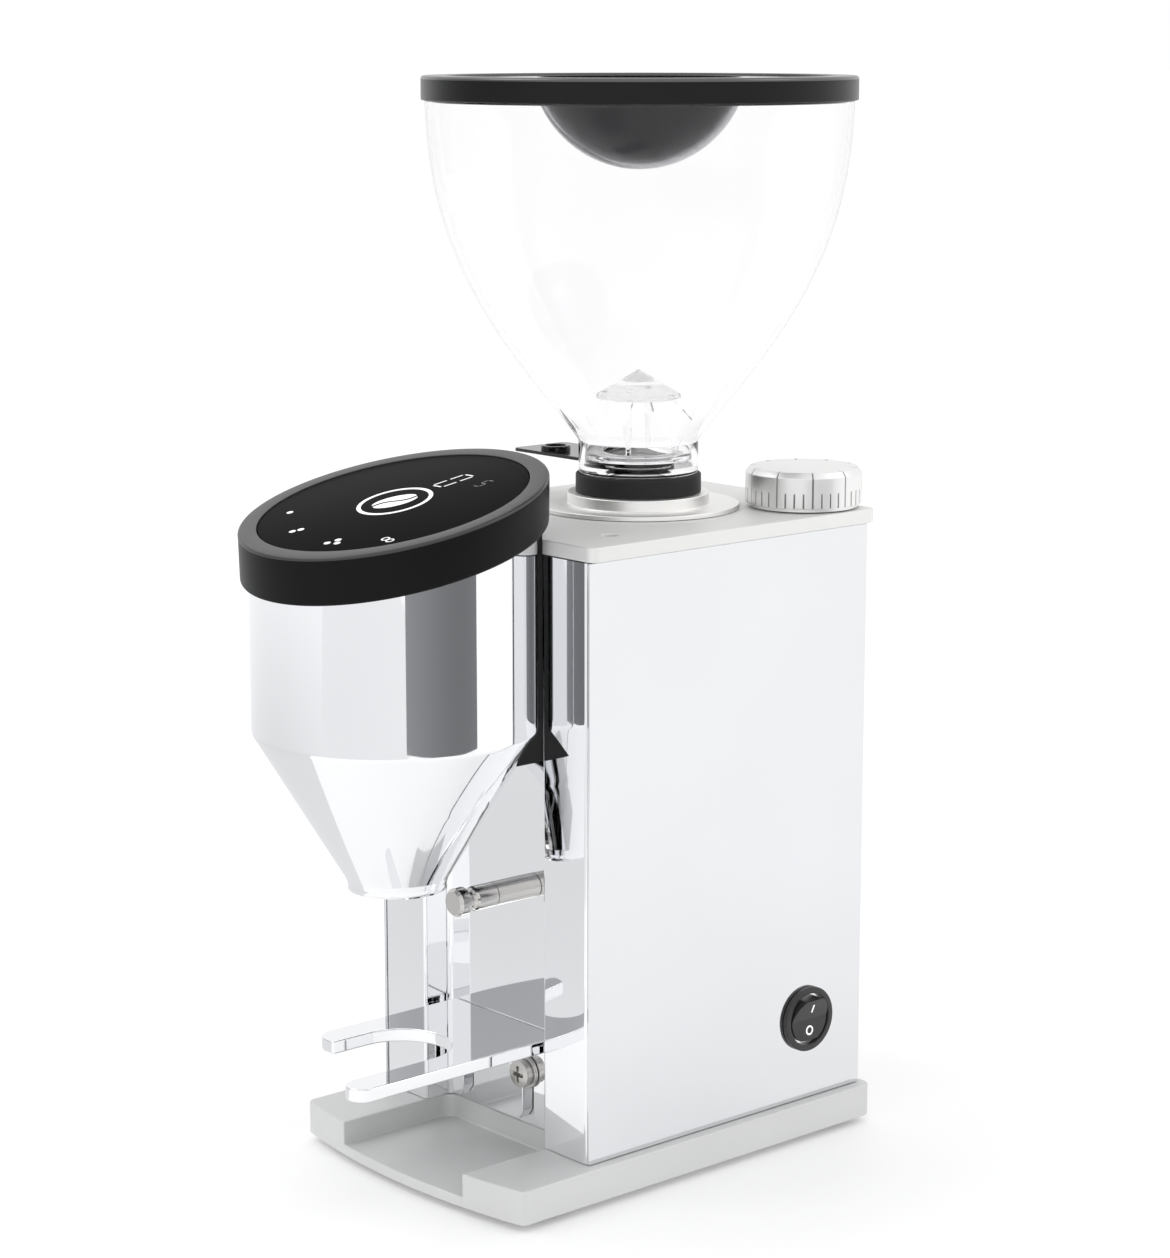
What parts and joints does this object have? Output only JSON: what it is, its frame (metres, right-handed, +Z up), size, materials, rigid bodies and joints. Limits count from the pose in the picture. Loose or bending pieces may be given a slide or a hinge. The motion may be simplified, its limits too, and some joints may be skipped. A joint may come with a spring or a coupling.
{
  "type": "burr coffee grinder",
  "caption": "Electric burr coffee grinder with a clear bean hopper, a slide gate, a round tilted display over a chrome grounds funnel, and an adjustable portafilter fork.",
  "frame": {"origin": "centre of the whole object's bounding box in plan, on the surface the feet stand on", "axes": "+Z up, front (funnel and fork) towards -Y, the side with the power switch towards +X"},
  "size_m": [0.1756, 0.2738, 0.4384],
  "materials": {
    "painted_aluminium": "satin light grey",
    "chrome": "mirror polished",
    "polished_steel": "polished",
    "turned_aluminium": "fine turned",
    "steel": "bare",
    "dark_steel": "hardened, dark",
    "satin_black": "satin",
    "gloss_black": "gloss",
    "display_glass": "black printed glass",
    "rubber": "matte",
    "clear_plastic": "clear",
    "smoked_plastic": "smoked, translucent",
    "copper_winding": "enamelled copper wire on steel",
    "board_green": "circuit board",
    "painted_black": "black coated"
  },
  "bodies": {
    "body": {"base_plate": "painted_aluminium", "foot_1": "rubber", "foot_2": "rubber", "foot_3": "rubber", "foot_4": "rubber", "front_channel": "chrome", "side_panel_left": "polished_steel", "side_panel_right": "polished_steel", "rear_panel": "polished_steel", "rear_screw_1": "steel", "rear_screw_2": "steel", "rear_screw_3": "steel", "rear_screw_4": "steel", "top_plate": "painted_aluminium", "top_screw_1": "steel", "top_screw_2": "steel", "throat_collar": "turned_aluminium", "seat_ring": "satin_black", "grinding_chamber": "turned_aluminium", "grounds_spout": "satin_black", "mount_plate": "steel", "motor_can": "painted_black", "motor_cover": "turned_aluminium", "lower_bearing": "steel", "upper_bearing": "steel", "stator": "copper_winding", "chute": "chrome", "chute_backing": "painted_black", "display_housing": "satin_black", "display_glass": "display_glass", "display_board": "board_green", "fork_screw_1": "steel", "fork_screw_2": "steel", "pin_bush": "satin_black", "pin_spring": "steel", "pin_bracket": "steel", "start_switch": "satin_black", "switch_bezel": "satin_black", "control_board": "board_green", "run_capacitor": "turned_aluminium", "mains_inlet": "satin_black"},
    "hopper": {"hopper": "clear_plastic", "hopper_baffle": "clear_plastic"},
    "gate": {"slide_gate": "satin_black"},
    "lid": {"lid_ring": "satin_black", "lid_bowl": "smoked_plastic"},
    "knob": {"adjuster_knob": "turned_aluminium", "adjuster_shaft": "steel", "adjuster_pinion": "steel"},
    "ring_gear": {"adjuster_ring": "turned_aluminium"},
    "upper_burr_set": {"upper_burr_carrier": "turned_aluminium", "upper_burr": "dark_steel"},
    "rotor_set": {"rotor": "dark_steel", "drive_shaft": "steel", "lower_burr_carrier": "turned_aluminium", "lower_burr": "dark_steel"},
    "fork": {"portafilter_fork": "chrome"},
    "pin": {"start_pin": "steel"},
    "rocker": {"switch_rocker": "gloss_black"}
  },
  "joints": [
    {"name": "hopper_lift", "type": "slide", "parent": "body", "child": "hopper", "axis": [0, 0, 1], "range_m": [0, 0.06]},
    {"name": "gate_slide", "type": "slide", "parent": "hopper", "child": "gate", "axis": [-1, 0, 0], "range_m": [0, 0.033]},
    {"name": "lid_lift", "type": "slide", "parent": "hopper", "child": "lid", "axis": [0, 0, 1], "range_m": [0, 0.08]},
    {"name": "ring_turn", "type": "hinge", "parent": "body", "child": "ring_gear", "pos_m": [0, 0.04911, 0.248], "axis": [0, 0, 1], "range_deg": [-54, 54]},
    {"name": "knob_turn", "type": "hinge", "parent": "body", "child": "knob", "pos_m": [0.043, 0.10197, 0.2645], "axis": [0, 0, 1], "range_deg": [-270, 270]},
    {"name": "burr_lift", "type": "slide", "parent": "body", "child": "upper_burr_set", "axis": [0, 0, 1], "range_m": [-0.000225, 0.000225]},
    {"name": "motor_spin", "type": "hinge", "parent": "body", "child": "rotor_set", "pos_m": [0, 0.04911, 0.16], "axis": [0, 0, 1], "continuous": true},
    {"name": "start_press", "type": "slide", "parent": "body", "child": "pin", "axis": [0, 1, 0], "range_m": [0, 0.004], "stiffness_N_per_m": 400},
    {"name": "fork_height", "type": "slide", "parent": "body", "child": "fork", "axis": [0, 0, 1], "range_m": [0, 0.015]},
    {"name": "rocker_tilt", "type": "hinge", "parent": "body", "child": "rocker", "pos_m": [0.0658, 0.08537, 0.052], "axis": [0, -1, 0], "range_deg": [0, 20]}
  ],
  "couplings": [
    {"joint": "knob_turn", "follows": "ring_turn", "ratio": -5},
    {"joint": "burr_lift", "follows": "ring_turn", "m_per_rad": 0.0002387}
  ]
}
